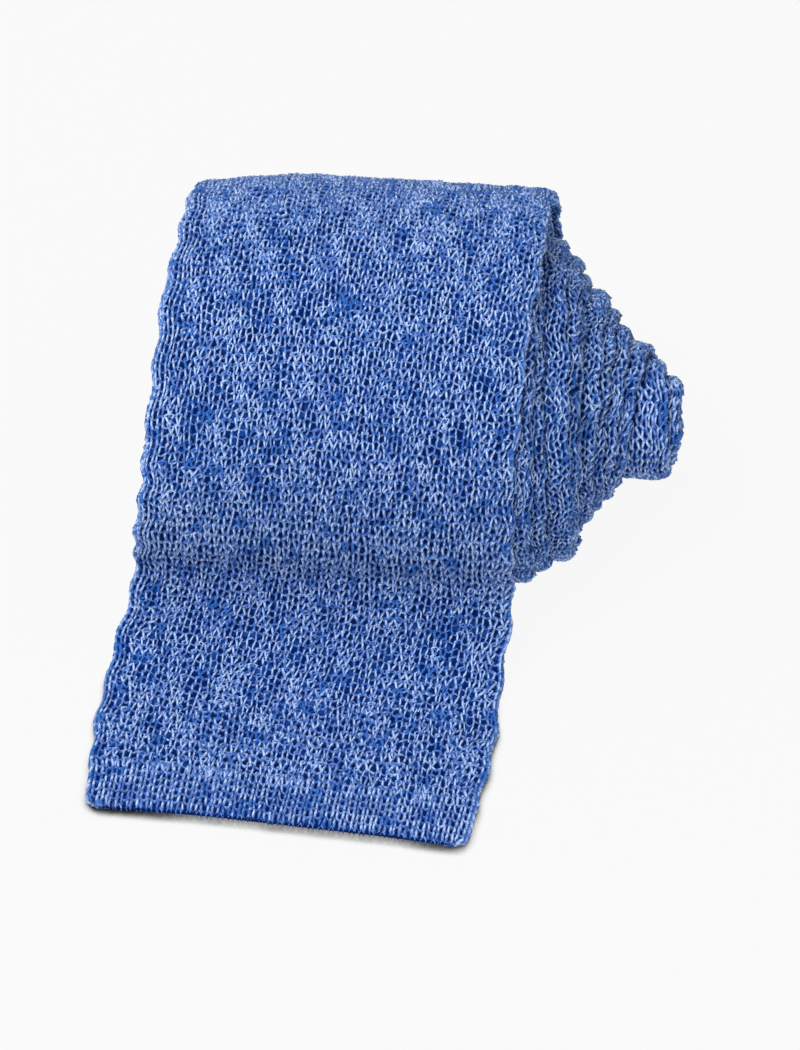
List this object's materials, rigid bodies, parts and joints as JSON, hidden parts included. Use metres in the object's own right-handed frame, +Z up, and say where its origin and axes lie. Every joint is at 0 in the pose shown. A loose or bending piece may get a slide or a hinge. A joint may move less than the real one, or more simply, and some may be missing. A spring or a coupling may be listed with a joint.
{
  "type": "rolled knit tie",
  "caption": "Square-ended knit tie rolled up from its narrow end, its turns stepping out to one side and its wide end lying flat in front.",
  "frame": {"origin": "on the surface that the tie lies on, under the middle of its box", "axes": "+X along the roll towards its stepped end, -Y the way the flap points, +Z up"},
  "size_m": [0.0894, 0.101, 0.0633],
  "materials": {
    "marled_knit": "blue and white marled yarn in a fine textured knit",
    "hem_knit": "the same yarn in tighter plain rows"
  },
  "bodies": {
    "root": {"knit_strip": "marled_knit", "blade_hem": "hem_knit", "tail_hem": "hem_knit"}
  },
  "joints": []
}
